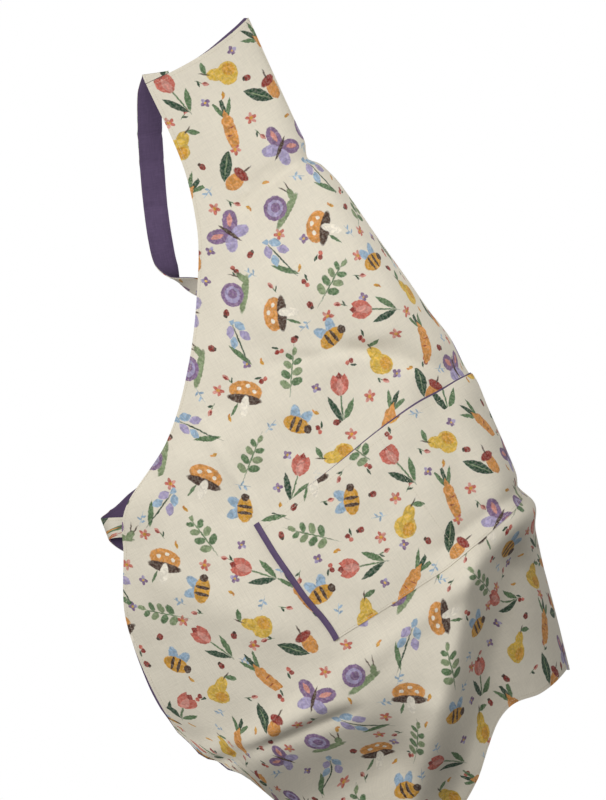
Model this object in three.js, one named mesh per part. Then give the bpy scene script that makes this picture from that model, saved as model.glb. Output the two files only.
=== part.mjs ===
// Cross-back apron in printed cotton with a plum lining, hanging from one corner of its bib.
// Millimetres, +Z up, front towards -Y, origin at the hang point.
import * as THREE from 'three';

// Cloth
const CLOTH = 1.0; // one layer
const SEAM_GAP = 0.3; // between two layers, and between pieces that are sewn together

// How it hangs: the apron's own axis leans from plumb, and the right corner of the bib is held
const HANG_TILT = THREE.MathUtils.degToRad(33);
const NECK_DIP = 9; // how far the bib's top edge sags between its corners
const NECK_EASE = 120; // the sag is gone this far down the bib
const WRAP_ROUND = 1.9; // a higher power keeps the front flatter and turns it back nearer its right outline

// Pocket, measured on the flat cloth
const POCKET_FOOT = 727; // drop of its lower edge
const POCKET_LEFT = 172; // from the division seam to the bound left edge
const POCKET_TURN = 0.7; // share of the right half that the pocket covers
const POCKET_GAPE = 7; // how far the mouth stands off at its right end
const BINDING_WIDTH = 7;
const FACING_SHOW = 2; // plum edge that shows above the mouth
const FACING_EASE = [0.3, 0.85]; // shares of its height over which it rises to make room for the facing

// Straps: shares of the bib's top edge that they are sewn to
const LEFT_ROOT = [-1, -0.625];
const RIGHT_ROOT = [0.525, 1];
const RIGHT_ROOT_DROP = 4; // the right strap is sewn to the lining, this far below the top edge
const RIGHT_ROOT_BACK = 3.4; // and its middle lies this far behind the bib's
const STRAP_STEPS = 44;

// Mesh density of the cloth
const COLUMNS_PER_QUARTER = 8;
const ROWS_ABOVE_POCKET = 14;
const ROWS_AT_POCKET = 7;
const ROWS_BELOW_POCKET = 13;

// Level sections of the body, in the apron's own frame: drop runs down the cloth from the bib's top edge.
// left, middle and right are the two sides and the centre line seen from the front, front is the depth of the
// centre line, leftBack how far the left side falls back, rightBack the depth at which the right half has
// turned through a quarter circle, and wrap the angle at which its edge comes.
const SECTIONS = [
  { drop: 0, left: -93, middle: -8, right: 75, front: 12, leftBack: 8, rightBack: 46, wrap: 58 },
  { drop: 110, left: -109, middle: -28, right: 52, front: 2, leftBack: 14, rightBack: 60, wrap: 66 },
  { drop: 190, left: -138, middle: -47, right: 41, front: -4, leftBack: 20, rightBack: 78, wrap: 72 },
  { drop: 240, left: -169, middle: -58, right: 49, front: -6, leftBack: 26, rightBack: 96, wrap: 76 },
  { drop: 330, left: -242, middle: -76, right: 52, front: -6, leftBack: 38, rightBack: 126, wrap: 82 },
  { drop: 400, left: -324, middle: -90, right: 56, front: -4, leftBack: 52, rightBack: 148, wrap: 88 },
  { drop: 440, left: -412, middle: -97, right: 58, front: -2, leftBack: 64, rightBack: 160, wrap: 93 },
  { drop: 490, left: -449, middle: -104, right: 63, front: 0, leftBack: 76, rightBack: 170, wrap: 99 },
  { drop: 560, left: -492, middle: -111, right: 57, front: -4, leftBack: 90, rightBack: 178, wrap: 105 },
  { drop: 650, left: -513, middle: -110, right: 44, front: -14, leftBack: 102, rightBack: 182, wrap: 110 },
  { drop: 740, left: -517, middle: -108, right: 24, front: -24, leftBack: 110, rightBack: 182, wrap: 113 },
  { drop: 850, left: -518, middle: -166, right: -8, front: -30, leftBack: 116, rightBack: 180, wrap: 115 },
  { drop: 1030, left: -520, middle: -250, right: -70, front: -34, leftBack: 122, rightBack: 176, wrap: 116 },
];

// The drop of the pocket's mouth, from its left end at -1 to its right end at 1, and of that level beyond it
const MOUTH = [
  { step: -2, drop: 545 },
  { step: -1, drop: 549 },
  { step: -0.4, drop: 543 },
  { step: 0.4, drop: 531 },
  { step: 1, drop: 540 },
  { step: 2, drop: 541 },
];

// The hem's drop across the cloth, from the left edge at -1 through the centre line to the right edge at 1
const HEM = [
  { across: -1, drop: 722 },
  { across: -0.97, drop: 757 },
  { across: -0.93, drop: 785 },
  { across: -0.88, drop: 813 },
  { across: -0.8, drop: 892 },
  { across: -0.6, drop: 960 },
  { across: -0.31, drop: 1010 },
  { across: -0.12, drop: 1010 },
  { across: 0, drop: 986 },
  { across: 0.08, drop: 951 },
  { across: 0.14, drop: 932 },
  { across: 0.22, drop: 926 },
  { across: 0.36, drop: 936 },
  { across: 0.6, drop: 938 },
  { across: 0.78, drop: 944 },
  { across: 0.93, drop: 880 },
  { across: 1, drop: 792 },
];

// Folds run from one point of the cloth to another. reach is the half width of the fold, rise how far its
// crest stands out (valleys are negative), and open folds run on past their second point without fading. A
// fall sets the cloth on the right of the line back, as where a flute stands in front of the next one.
const FADE_IN = [-0.1, 0.16]; // shares of a fold's length over which it starts
const FADE_OUT = [0.8, 1.1]; // and over which it ends
const FOLDS = [
  { name: 'armhole drag', from: [-84, 197], to: [62, 192], reach: 9, rise: -8, open: true },
  { name: 'bib swell', from: [-70, 60], to: [-10, 180], reach: 34, rise: 5, open: false },
  { name: 'chest swell', from: [-150, 300], to: [-20, 360], reach: 50, rise: 7, open: false },
  { name: 'crease above pocket, right', from: [-14, 446], to: [52, 536], reach: 15, rise: -6, open: false },
  { name: 'trough above pocket', from: [-70, 430], to: [44, 545], reach: 36, rise: -7, open: false },
  { name: 'hip swell', from: [-420, 520], to: [-300, 700], reach: 60, rise: 10, open: false },
  { name: 'pocket valley', from: [-24, 510], to: [-76, 722], reach: 34, rise: -13, open: false },
  { name: 'ridge under pocket, right', from: [120, 714], to: [-134, 755], reach: 16, rise: 10, open: false },
  { name: 'ridge under pocket, left', from: [-90, 752], to: [-440, 788], reach: 16, rise: 7, open: true },
  { name: 'low step', from: [-240, 856], to: [-640, 850], reach: 60, rise: 0, fall: 74, open: true },
  { name: 'flute ridge', from: [-70, 735], to: [-265, 975], reach: 34, rise: 16, open: true },
  { name: 'flute side', from: [-24, 727], to: [-243, 934], reach: 32, rise: -4, fall: 76, open: true },
  { name: 'flap turn', from: [66, 727], to: [-124, 930], reach: 72, rise: 0, fall: 34, open: true },
];

// Stations along each strap: across, drop and depth of its middle, then the direction from its first edge to
// its second edge in the same three axes, and its width there. Plum faces the front once it has turned over.
const STRAP_LEFT = [
  { at: [-76, -4, 18], edge: [0.9, 0.41, -0.14], width: 34 },
  { at: [-78, -3, 26], edge: [0.88, 0.46, 0], width: 33 },
  { at: [-94, 10, 34], edge: [0.87, 0.49, 0], width: 32 },
  { at: [-118, 45, 44], edge: [0.88, 0.47, 0], width: 31 },
  { at: [-142, 86, 52], edge: [0.88, 0.47, 0.05], width: 31 },
  { at: [-167, 132, 60], edge: [0.89, 0.45, 0.1], width: 31 },
  { at: [-187, 174, 68], edge: [0.92, 0.38, 0.12], width: 31 },
  { at: [-198, 204, 76], edge: [0.8, 0.5, 0.35], width: 31 },
  { at: [-199, 226, 84], edge: [0.25, 0.35, 0.9], width: 30 },
  { at: [-183, 247, 92], edge: [-0.35, 0.6, 0.72], width: 30 },
  { at: [-151, 277, 102], edge: [-0.6, 0.78, 0.1], width: 30 },
  { at: [-84, 338, 122], edge: [-0.68, 0.72, 0.08], width: 32 },
  { at: [-12, 408, 142], edge: [-0.6, 0.78, 0.15], width: 34 },
  { at: [34, 456, 154], edge: [-0.3, 0.92, 0.2], width: 36 },
  { at: [51, 482, 176], edge: [-0.05, 1, 0], width: 36 },
  { at: [53, 492, 204], edge: [0, 1, 0], width: 36 },
];
const STRAP_RIGHT = [
  { at: [46, 14, 25], edge: [0.95, 0.02, 0.3], width: 30 },
  { at: [41, 36, 42], edge: [0.98, 0.08, 0.18], width: 32 },
  { at: [26, 90, 60], edge: [0.96, 0.26, 0], width: 32 },
  { at: [-6, 170, 68], edge: [0.9, 0.42, 0], width: 32 },
  { at: [-58, 258, 76], edge: [0.82, 0.56, 0], width: 33 },
  { at: [-140, 346, 88], edge: [0.66, 0.75, 0], width: 36 },
  { at: [-252, 412, 104], edge: [0.4, 0.92, 0], width: 44 },
  { at: [-354, 452, 114], edge: [0.12, 0.99, 0], width: 62 },
  { at: [-410, 460, 118], edge: [-0.15, 0.98, 0], width: 66 },
  { at: [-441, 461, 112], edge: [-0.2, 0.97, 0], width: 60 },
  { at: [-453, 450, 100], edge: [-0.2, 0.97, 0], width: 30 },
  { at: [-445, 452, 88], edge: [-0.3, 0.95, 0], width: 27 },
  { at: [-427, 462, 82], edge: [-0.35, 0.93, 0], width: 26 },
  { at: [-400, 477, 76], edge: [-0.35, 0.93, 0], width: 26 },
];

// Colours of the two cottons
const PRINT_COTTON = { color: 0xded6c2, roughness: 0.86, metalness: 0 };
const PLUM_COTTON = { color: 0x52435e, roughness: 0.88, metalness: 0 };

// Smooth curve through one column of a table, with the slope at each row taken from its neighbours
function readTable(table, key, column, x) {
  const last = table.length - 1;
  let i = 0;
  while (i < last - 1 && x > table[i + 1][key]) i += 1;
  const slopeAt = (k) => {
    const a = table[Math.max(k - 1, 0)];
    const b = table[Math.min(k + 1, last)];
    return (b[column] - a[column]) / (b[key] - a[key]);
  };
  const from = table[i];
  const to = table[i + 1];
  const span = to[key] - from[key];
  const t = THREE.MathUtils.clamp((x - from[key]) / span, 0, 1);
  const t2 = t * t;
  const t3 = t2 * t;
  return (2 * t3 - 3 * t2 + 1) * from[column] + (t3 - 2 * t2 + t) * span * slopeAt(i)
    + (3 * t2 - 2 * t3) * to[column] + (t3 - t2) * span * slopeAt(i + 1);
}

const section = (column, drop) => readTable(SECTIONS, 'drop', column, drop);
const mouthDrop = (step) => readTable(MOUTH, 'step', 'drop', step);
const hemDrop = (across) => readTable(HEM, 'across', 'drop', across);

// How far the folds lift a point of the cloth off its face, and how far they set it back
function foldMoves(across, drop) {
  let lift = 0;
  let setBack = 0;
  for (const fold of FOLDS) {
    const du = fold.to[0] - fold.from[0];
    const dv = fold.to[1] - fold.from[1];
    const length = Math.hypot(du, dv);
    const along = ((across - fold.from[0]) * du + (drop - fold.from[1]) * dv) / (length * length);
    const aside = ((across - fold.from[0]) * dv - (drop - fold.from[1]) * du) / length;
    const fadeOut = fold.open ? 1 : 1 - THREE.MathUtils.smoothstep(along, ...FADE_OUT);
    const fade = THREE.MathUtils.smoothstep(along, ...FADE_IN) * fadeOut;
    lift += fold.rise * Math.exp(-((aside / fold.reach) ** 2)) * fade;
    setBack += (fold.fall ?? 0) * THREE.MathUtils.smoothstep(aside, -fold.reach, fold.reach) * fade;
  }
  return { lift, setBack };
}

// A point of the body in the apron's own frame. across is -1 on the left edge, 0 on the centre line and
// 1 on the right edge; x runs right, y back and z up.
function bodyPoint(across, drop) {
  const middle = section('middle', drop);
  const front = section('front', drop);
  const dip = NECK_DIP * Math.cos(across * Math.PI / 2) * Math.max(0, 1 - drop / NECK_EASE);
  let x;
  let y;
  let foldAcross;
  let normalX = 0;
  let normalY = -1;
  if (across <= 0) {
    const half = middle - section('left', drop);
    const fall = section('leftBack', drop);
    x = middle + across * half;
    y = front + fall * across * across;
    foldAcross = x;
    normalX = 2 * fall * across / half;
  } else {
    const half = section('right', drop) - middle;
    const turn = across * THREE.MathUtils.degToRad(section('wrap', drop));
    const back = section('rightBack', drop);
    x = middle + half * Math.sin(turn);
    y = front + back * (1 - Math.cos(turn)) ** WRAP_ROUND;
    foldAcross = turn < Math.PI / 2 ? x : middle + half * (1 + turn - Math.PI / 2);
    normalX = back * WRAP_ROUND * (1 - Math.cos(turn)) ** (WRAP_ROUND - 1) * Math.sin(turn);
    normalY = -half * Math.cos(turn);
  }
  const { lift, setBack } = foldMoves(foldAcross, drop);
  const share = lift / Math.hypot(normalX, normalY);
  return new THREE.Vector3(x + normalX * share, y + normalY * share + setBack, -(drop + dip));
}

// Where the columns and rows of the cloth's mesh lie. The pocket's edges fall on columns and rows, so the
// pocket and the body share their facets there.
function pocketShare(drop) {
  const level = Math.min(drop, POCKET_FOOT);
  return Math.min(POCKET_LEFT / (section('middle', level) - section('left', level)), 0.5);
}

function columnAcross(column, drop) {
  const step = (column - 2 * COLUMNS_PER_QUARTER) / COLUMNS_PER_QUARTER;
  const inner = step < 0 ? pocketShare(drop) : POCKET_TURN;
  const size = Math.abs(step);
  const share = size <= 1 ? size * inner : inner + (size - 1) * (1 - inner);
  return Math.sign(step) * share;
}

const POCKET_FIRST_ROW = ROWS_ABOVE_POCKET;
const POCKET_LAST_ROW = ROWS_ABOVE_POCKET + ROWS_AT_POCKET;
const ROWS = POCKET_LAST_ROW + ROWS_BELOW_POCKET;
const COLUMNS = 4 * COLUMNS_PER_QUARTER;
const EDGE_LIFT = 41; // the row at the pocket's foot curves up this far towards the body's rounded corners
const CORNER_LIFT = 18; // and the pocket's lower edge rises this far towards its right corner

function rowDrop(row, column) {
  const step = (column - 2 * COLUMNS_PER_QUARTER) / COLUMNS_PER_QUARTER;
  const top = mouthDrop(step);
  if (row <= POCKET_FIRST_ROW) return top * row / POCKET_FIRST_ROW;
  const outside = Math.max(Math.abs(step) - 1, 0);
  const towardsRight = THREE.MathUtils.clamp(step, 0, 1);
  const start = POCKET_FOOT - EDGE_LIFT * outside * outside - CORNER_LIFT * towardsRight;
  if (row <= POCKET_LAST_ROW) return top + (start - top) * (row - POCKET_FIRST_ROW) / ROWS_AT_POCKET;
  const across = columnAcross(column, start);
  return start + (hemDrop(across) - start) * (row - POCKET_LAST_ROW) / ROWS_BELOW_POCKET;
}

function bodyAt(row, column) {
  const drop = rowDrop(row, column);
  return bodyPoint(columnAcross(column, drop), drop);
}

// Grid of points with the unit normal of the surface at each, facing the front
function surfaceGrid(rows, columns, pointAt) {
  const points = [];
  for (let r = 0; r <= rows; r += 1) {
    points.push([]);
    for (let c = 0; c <= columns; c += 1) points[r].push(pointAt(r, c));
  }
  return points.map((line, r) => line.map((point, c) => {
    const down = points[Math.min(r + 1, rows)][c].clone().sub(points[Math.max(r - 1, 0)][c]);
    const right = line[Math.min(c + 1, columns)].clone().sub(line[Math.max(c - 1, 0)]);
    return { point, normal: down.cross(right).normalize() };
  }));
}

// Closed wall of cloth between two offsets from a grid
function clothWall(grid, nearOffset, farOffset) {
  const rows = grid.length - 1;
  const columns = grid[0].length - 1;
  const positions = [];
  for (const offset of [farOffset, nearOffset]) {
    for (const line of grid) {
      for (const { point, normal } of line) {
        positions.push(...point.clone().addScaledVector(normal, offset).toArray());
      }
    }
  }
  const id = (side, r, c) => side * (rows + 1) * (columns + 1) + r * (columns + 1) + c;
  const triangles = [];
  const quad = (a, b, c, d) => triangles.push(a, b, c, a, c, d);
  for (let r = 0; r < rows; r += 1) {
    for (let c = 0; c < columns; c += 1) {
      quad(id(0, r, c), id(0, r + 1, c), id(0, r + 1, c + 1), id(0, r, c + 1));
      quad(id(1, r + 1, c + 1), id(1, r + 1, c), id(1, r, c), id(1, r, c + 1));
    }
  }
  for (let c = 0; c < columns; c += 1) {
    quad(id(0, 0, c), id(0, 0, c + 1), id(1, 0, c + 1), id(1, 0, c));
    quad(id(0, rows, c + 1), id(0, rows, c), id(1, rows, c), id(1, rows, c + 1));
  }
  for (let r = 0; r < rows; r += 1) {
    quad(id(0, r + 1, 0), id(0, r, 0), id(1, r, 0), id(1, r + 1, 0));
    quad(id(0, r, columns), id(0, r + 1, columns), id(1, r + 1, columns), id(1, r, columns));
  }
  const geometry = new THREE.BufferGeometry();
  geometry.setAttribute('position', new THREE.Float32BufferAttribute(positions, 3));
  geometry.setIndex(triangles);
  geometry.computeVertexNormals();
  return geometry;
}

function addPiece(group, name, geometry, finish) {
  const piece = new THREE.Mesh(geometry, new THREE.MeshStandardMaterial(finish));
  piece.name = name;
  group.add(piece);
}

// Body: printed front layer and plum lining
const HALF_GAP = SEAM_GAP / 2;
const bodyGrid = surfaceGrid(ROWS, COLUMNS, bodyAt);

function addBody(group) {
  addPiece(group, 'body_print', clothWall(bodyGrid, HALF_GAP, HALF_GAP + CLOTH), PRINT_COTTON);
  addPiece(group, 'body_lining', clothWall(bodyGrid, -HALF_GAP - CLOTH, -HALF_GAP), PLUM_COTTON);
}

// Pocket: a patch with a plum facing at its mouth and a plum binding down its left edge
function addPocket(group) {
  const firstColumn = COLUMNS_PER_QUARTER;
  const columns = 2 * COLUMNS_PER_QUARTER;
  const seat = HALF_GAP + CLOTH + SEAM_GAP;
  const standOff = (row, column) => {
    const up = 1 - row / ROWS_AT_POCKET;
    const towardsRight = Math.max(0, (column - COLUMNS_PER_QUARTER) / COLUMNS_PER_QUARTER);
    const facingRoom = (CLOTH + SEAM_GAP) * THREE.MathUtils.smoothstep(up, ...FACING_EASE);
    return facingRoom + POCKET_GAPE * up * up * towardsRight * towardsRight;
  };
  const patch = surfaceGrid(ROWS_AT_POCKET, columns, (row, column) => {
    const { point, normal } = bodyGrid[POCKET_FIRST_ROW + row][firstColumn + column];
    return point.clone().addScaledVector(normal, seat + CLOTH + standOff(row, column));
  });
  addPiece(group, 'pocket_print', clothWall(patch, -CLOTH, 0), PRINT_COTTON);

  const beyond = (from, towards, distance) => {
    const away = from.point.clone().sub(towards.point).setLength(distance);
    return { point: from.point.clone().add(away), normal: from.normal };
  };
  const [mouth, next] = patch;
  const facing = [mouth.map((place, column) => beyond(place, next[column], FACING_SHOW)), mouth, next];
  addPiece(group, 'pocket_facing', clothWall(facing, -2 * CLOTH - SEAM_GAP, -CLOTH - SEAM_GAP), PLUM_COTTON);

  const binding = patch.map(([edge, inside]) => [
    beyond(edge, inside, CLOTH),
    beyond(edge, inside, -BINDING_WIDTH),
  ]);
  addPiece(group, 'pocket_binding', clothWall(binding, 2 * SEAM_GAP, 2 * SEAM_GAP + CLOTH), PLUM_COTTON);
}

// Straps: each is a printed band with a plum back. The left one goes on from the bib's top edge and turns
// over, the right one is sewn inside that edge.
function strapRoot([first, second], drop, shift) {
  const start = bodyPoint(first, drop);
  const end = bodyPoint(second, drop);
  const across = end.clone().sub(start);
  const at = start.add(end).multiplyScalar(0.5).add(shift);
  return { at: [at.x, -at.z, at.y], edge: [across.x, -across.z, across.y], width: across.length() };
}

function strapGrid(stations) {
  const toPoint = ({ at }) => new THREE.Vector3(at[0], at[2], -at[1]);
  const middles = new THREE.CatmullRomCurve3(stations.map(toPoint));
  const places = stations.length - 1;
  const edgeAt = (place) => {
    const i = Math.min(Math.floor(place), places - 1);
    const blend = place - i;
    const pick = ({ edge, width }) => {
      const [across, drop, depth] = edge;
      return new THREE.Vector3(across, depth, -drop).setLength(width / 2);
    };
    return pick(stations[i]).lerp(pick(stations[i + 1]), blend).setLength(
      THREE.MathUtils.lerp(stations[i].width, stations[i + 1].width, blend) / 2);
  };
  return surfaceGrid(STRAP_STEPS, 1, (row, column) => {
    const t = row / STRAP_STEPS;
    const edge = edgeAt(t * places);
    return middles.getPoint(t).addScaledVector(edge, column === 0 ? -1 : 1);
  });
}

function addStrap(group, name, root, stations) {
  const grid = strapGrid([root, ...stations]);
  addPiece(group, `${name}_lining`, clothWall(grid, HALF_GAP, HALF_GAP + CLOTH), PLUM_COTTON);
  addPiece(group, `${name}_print`, clothWall(grid, -HALF_GAP - CLOTH, -HALF_GAP), PRINT_COTTON);
}

// The apron in its own frame, then hung by the right corner of its bib
const apron = new THREE.Group();
addBody(apron);
addPocket(apron);
const leftRoot = strapRoot(LEFT_ROOT, 0, new THREE.Vector3(0, 0, 2 * SEAM_GAP));
addStrap(apron, 'strap_left', leftRoot, STRAP_LEFT);
const rightRoot = strapRoot(RIGHT_ROOT, RIGHT_ROOT_DROP, new THREE.Vector3(0, RIGHT_ROOT_BACK, 0));
addStrap(apron, 'strap_right', rightRoot, STRAP_RIGHT);

const hanging = new THREE.Group();
const hangPoint = bodyGrid[0][COLUMNS].point;
apron.position.copy(hangPoint).negate();
hanging.add(apron);
hanging.rotation.y = -HANG_TILT;
hanging.updateMatrixWorld(true);

export default hanging;
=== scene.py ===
import math
from collections import namedtuple

import bpy
import numpy as np
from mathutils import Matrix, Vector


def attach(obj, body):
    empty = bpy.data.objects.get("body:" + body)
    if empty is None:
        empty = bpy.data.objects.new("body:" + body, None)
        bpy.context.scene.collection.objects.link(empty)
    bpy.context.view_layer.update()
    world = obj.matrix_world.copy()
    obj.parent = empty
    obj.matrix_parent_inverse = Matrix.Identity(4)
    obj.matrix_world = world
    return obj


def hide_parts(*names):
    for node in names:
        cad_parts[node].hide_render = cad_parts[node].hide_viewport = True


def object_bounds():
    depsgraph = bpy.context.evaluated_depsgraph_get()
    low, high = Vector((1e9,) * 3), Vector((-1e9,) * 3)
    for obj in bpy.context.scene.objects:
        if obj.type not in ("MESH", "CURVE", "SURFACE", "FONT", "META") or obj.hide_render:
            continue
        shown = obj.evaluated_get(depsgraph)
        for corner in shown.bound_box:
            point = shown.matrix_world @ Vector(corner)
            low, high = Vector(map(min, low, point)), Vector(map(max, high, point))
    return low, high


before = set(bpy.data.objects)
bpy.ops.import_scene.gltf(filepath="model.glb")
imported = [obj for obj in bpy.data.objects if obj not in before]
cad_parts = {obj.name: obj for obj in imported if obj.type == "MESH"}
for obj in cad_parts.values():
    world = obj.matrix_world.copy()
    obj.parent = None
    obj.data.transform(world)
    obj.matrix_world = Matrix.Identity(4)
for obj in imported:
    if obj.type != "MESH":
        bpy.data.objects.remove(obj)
CAD_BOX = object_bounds()

bl_info = {
    "name": "Cross-back apron",
    "version": (1, 0, 0),
    "blender": (4, 5, 0),
    "location": "View3D > Sidebar > Apron",
    "description": "Builds a lined cotton apron that hangs from a corner of its bib",
    "category": "Add Mesh",
}

# Lengths in the tables are millimetres, in the apron's own upright frame: x right, y back and z up. Drop is
# the distance below the bib's top edge.
MM = 0.001

# How it hangs
HANG_TILT = math.radians(33)
NECK_DIP = 9  # the middle of the bib's top edge hangs this much lower
NECK_EASE = 120  # and the dip has eased out at this drop
WRAP_ROUND = 1.9  # a higher power keeps the front flatter and turns it back closer to its right outline

# Layers
CLOTH = 1.0
SEAM_GAP = 0.3
HALF_GAP = SEAM_GAP / 2
FRONT_LAYER = (HALF_GAP, HALF_GAP + CLOTH)  # doubled cloth lies in front of and behind one grid of points
BACK_LAYER = (-HALF_GAP - CLOTH, -HALF_GAP)
SHARP_EDGE = math.radians(55)

# Seams
THREAD_LIFT = 0.1
THREAD_PLACE = HALF_GAP + CLOTH + THREAD_LIFT
SEAM_STOP = 3  # mesh points from the end of an edge to the first stitch
POCKET_SEAM = 3
FACING_SEAM = 10
STRAP_SEAM = 3.5

# Lining
LINING_SHOW = 4.0  # plum edge beyond the print, down the lower left and round the corner of the hem
LINING_SHOW_DROPS = (560, 680)
LINING_SHOW_CORNER = (-0.97, -0.86)
LINING_RISE = 3.5  # and above it at the right of the bib
LINING_RISE_START = (-0.3, 0.5)
LINING_RISE_END = (0.9, 1.0)

# Pocket
POCKET_FOOT = 727
EDGE_LIFT = 41  # rise of the foot's level towards the edges of the body
CORNER_LIFT = 18  # and towards the pocket's right corner
POCKET_LEFT = 172
POCKET_LARGEST = 0.5  # share of the body's left half
POCKET_TURN = 0.7
POCKET_GAPE = 7
POCKET_ROOM = (0.3, 0.85)  # shares of its height over which it makes room for the facing
PRINT_SHIFT = (17, 23)  # the pocket is cut from another place of the print than the body behind it
DIVISION_STEP = 4  # mesh columns from the centre line to the seam that divides the pocket
FACING_SHOW = 2
FACING_LEAST = 0.1  # share of it that shows at the left end
FACING_GROWTH = (-0.7, 0.4)
FACING_ROWS = 6
BINDING_WIDTH = 7
BINDING_ROLL = 0.9
BINDING_COLUMNS = 6
BINDING_SPAN = 4  # columns of the pocket that give the binding its slope

# Straps
LEFT_ROOT = (-1, -0.625)  # places across the bib between which a strap is sewn on
RIGHT_ROOT = (0.525, 1)
RIGHT_ROOT_DROP = 4
RIGHT_ROOT_BACK = 3.4
STRAP_STEPS = 220
STRAP_COLUMNS = 8
STRAP_CREASES = (92, 128, 186)  # distances from the bib of the creases that a strap was pressed with
CREASE_DEPTH = 2.6
CREASE_REACH = 3.4
STRAP_PRINT_WIDTH = 33

# Flat cloth in metres, width and length, with the area of a piece that is not a full rectangle
STRAP_LEFT_FLAT = (0.032, 0.69)
STRAP_RIGHT_FLAT = (0.066, 0.83)
STRAP_RIGHT_AREA = 0.0335

# Soft dents in the body
RUMPLE_WAVES = 16
RUMPLE_LENGTHS = (34, 120)
RUMPLE_SLOPE = 0.028  # of each wave at its steepest
RUMPLE_SEED = 5

# Patterns in the materials
SLUB_THICK = 1.8  # a real thread is 0.45 thick, which is finer than a pixel, so its slubs are drawn coarser
SLUB_LONG = 17
LINE_WAVER = 4.5  # length of the waver in the drawn outlines
LINE_STRAY = 1.1  # and how far it moves them
INK_SOFT = 0.35
DRY_BRUSH = 3
BRUSH_MARK = 6
DYE_PATCH = 33
DYE_DEPTHS = (0.9, 1.07)
THREAD_TWIST = 1.1
PAPER_FIBRE = 3.3

# Mesh density
COLUMNS_PER_QUARTER = 40
ROWS_ABOVE_POCKET = 120
ROWS_AT_POCKET = 42
ROWS_BELOW_POCKET = 60
ROWS = ROWS_ABOVE_POCKET + ROWS_AT_POCKET + ROWS_BELOW_POCKET
COLUMNS = 4 * COLUMNS_PER_QUARTER

# Level sections of the body: its outline and centre line, how far back the front, the left edge and the right
# side lie, and the turn of the right side in degrees
Section = namedtuple("Section", "drop left middle right front left_back right_back wrap")
SECTIONS = (
    Section(0, -93, -8, 75, 12, 8, 46, 58),
    Section(110, -109, -28, 52, 2, 14, 60, 66),
    Section(190, -138, -47, 41, -4, 20, 78, 72),
    Section(240, -169, -58, 49, -6, 26, 96, 76),
    Section(330, -242, -76, 52, -6, 38, 126, 82),
    Section(400, -324, -90, 56, -4, 52, 148, 88),
    Section(440, -412, -97, 58, -2, 64, 160, 93),
    Section(490, -449, -104, 63, 0, 76, 170, 99),
    Section(560, -492, -111, 57, -4, 90, 178, 105),
    Section(650, -513, -110, 44, -14, 102, 182, 110),
    Section(740, -517, -108, 24, -24, 110, 182, 113),
    Section(850, -518, -166, -8, -30, 116, 180, 115),
    Section(1030, -520, -250, -70, -34, 122, 176, 116),
)

# The pocket's mouth, from its left end at -1 to its right end at 1, and the same level beyond it
Mouth = namedtuple("Mouth", "step drop")
MOUTH = (Mouth(-2, 545), Mouth(-1, 549), Mouth(-0.4, 543), Mouth(0.4, 531), Mouth(1, 540), Mouth(2, 541))

# The hem, from the body's left edge at -1 to its right edge at 1
Hem = namedtuple("Hem", "across drop")
HEM = (
    Hem(-1, 722), Hem(-0.97, 757), Hem(-0.93, 785), Hem(-0.88, 813), Hem(-0.8, 892), Hem(-0.6, 960),
    Hem(-0.31, 1010), Hem(-0.12, 1010), Hem(0, 986), Hem(0.08, 951), Hem(0.14, 932), Hem(0.22, 926),
    Hem(0.36, 936), Hem(0.6, 938), Hem(0.78, 944), Hem(0.93, 880), Hem(1, 792),
)

# Folds from one point of the cloth (u0, v0) to another (u1, v1). A valley has a negative rise, an open fold
# does not fade at its second point, and a fall sets the cloth on the right of the line back.
Fold = namedtuple("Fold", "name u0 v0 u1 v1 reach rise open fall")
FADE_IN = (-0.1, 0.16)  # shares of a fold's length
FADE_OUT = (0.8, 1.1)
FOLDS = (
    Fold("armhole drag", -84, 197, 62, 192, 9, -8, True, 0),
    Fold("armhole drag, upper wrinkle", -66, 180, 34, 182, 8, -4, True, 0),
    Fold("bib swell", -70, 60, -10, 180, 34, 5, False, 0),
    Fold("chest swell", -150, 300, -20, 360, 50, 7, False, 0),
    Fold("crease above pocket, left", -160, 384, 0, 454, 8, -3, False, 0),
    Fold("crease above pocket, middle", -86, 398, 40, 518, 10, -5, False, 0),
    Fold("crease above pocket, right", -14, 446, 52, 536, 15, -6, False, 0),
    Fold("trough above pocket", -70, 430, 44, 545, 36, -7, False, 0),
    Fold("panel crease", -271, 395, -271, 552, 7, 3, False, 0),
    Fold("hip swell", -420, 520, -300, 700, 60, 10, False, 0),
    Fold("pocket valley", 1, 516, -51, 728, 38, -14, False, 0),
    Fold("pocket side sag", 26, 560, -44, 758, 30, -6, False, 0),
    Fold("crease over the pocket's foot", 44, 697, -112, 704, 12, -7, False, 0),
    Fold("ridge under pocket, right", 120, 714, -134, 755, 16, 10, False, 0),
    Fold("ridge under pocket, left", -90, 752, -440, 788, 16, 7, True, 0),
    Fold("low step", -240, 856, -640, 850, 60, 0, True, 74),
    Fold("brow of low step", -296, 798, -476, 768, 15, 6, True, 0),
    Fold("tuck under the low step", -300, 816, -481, 785, 9, -8, True, 0),
    Fold("flute ridge", -70, 735, -265, 975, 34, 16, True, 0),
    Fold("flute front", -210, 850, -310, 952, 20, 5, True, 0),
    Fold("flute side", -24, 727, -243, 934, 32, -4, True, 76),
    Fold("flap turn", 66, 727, -124, 930, 72, 0, True, 34),
)

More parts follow.
